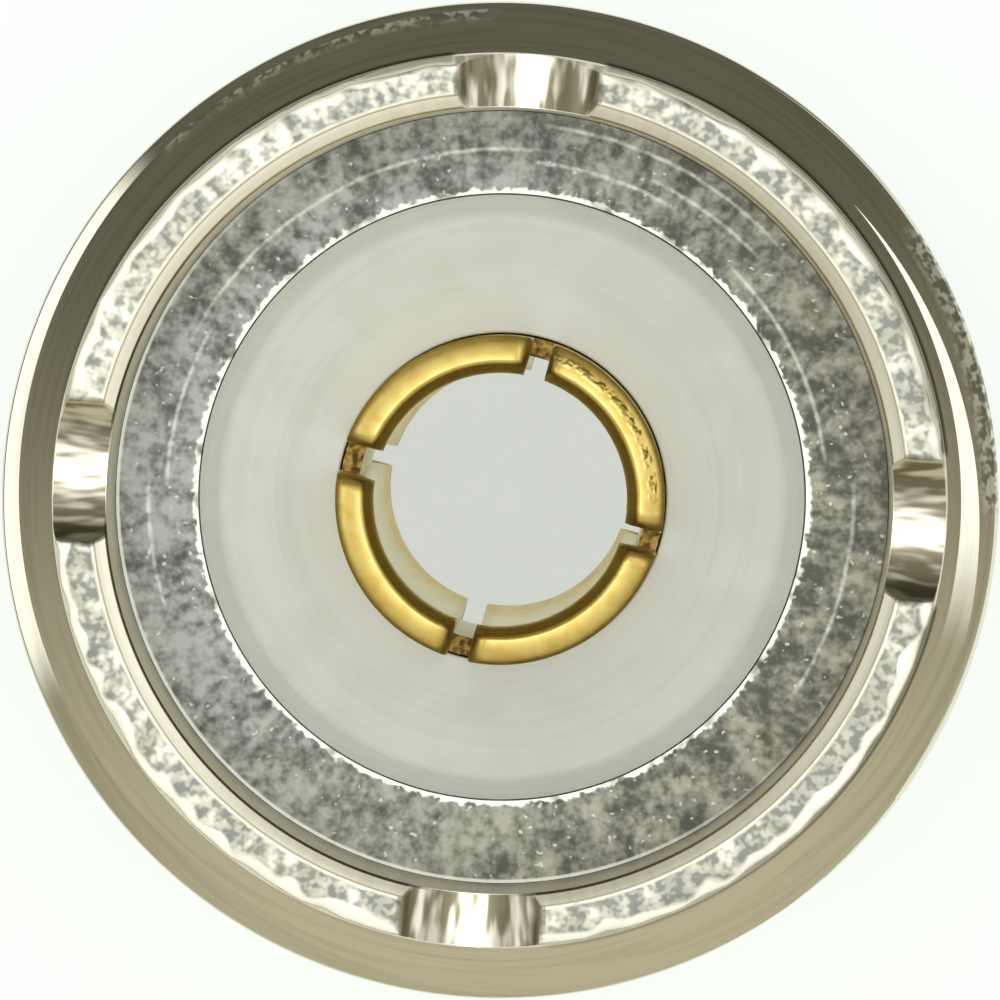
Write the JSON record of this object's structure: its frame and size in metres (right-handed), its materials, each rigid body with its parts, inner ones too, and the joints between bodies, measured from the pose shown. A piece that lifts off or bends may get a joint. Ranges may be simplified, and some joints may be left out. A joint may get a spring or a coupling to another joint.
{
  "type": "uhf barrel adapter",
  "caption": "Threaded barrel that joins two coaxial plugs: notched metal shell, slotted see-through contact and insulator held by pressed rings.",
  "frame": {"origin": "centre of the rear end face, on which the barrel stands", "axes": "+Z along the barrel's axis to the front end face, +X and +Y through the notches in the rim"},
  "size_m": [0.0158, 0.0158, 0.03],
  "materials": {
    "nickel_plate": "satin",
    "grey_plate": "satin",
    "insulator": "matte",
    "gold_plate": "gloss"
  },
  "bodies": {
    "root": {"shell": "nickel_plate", "front_retaining_ring": "grey_plate", "rear_retaining_ring": "grey_plate", "front_insulator": "insulator", "rear_insulator": "insulator", "center_contact": "gold_plate"}
  },
  "joints": []
}
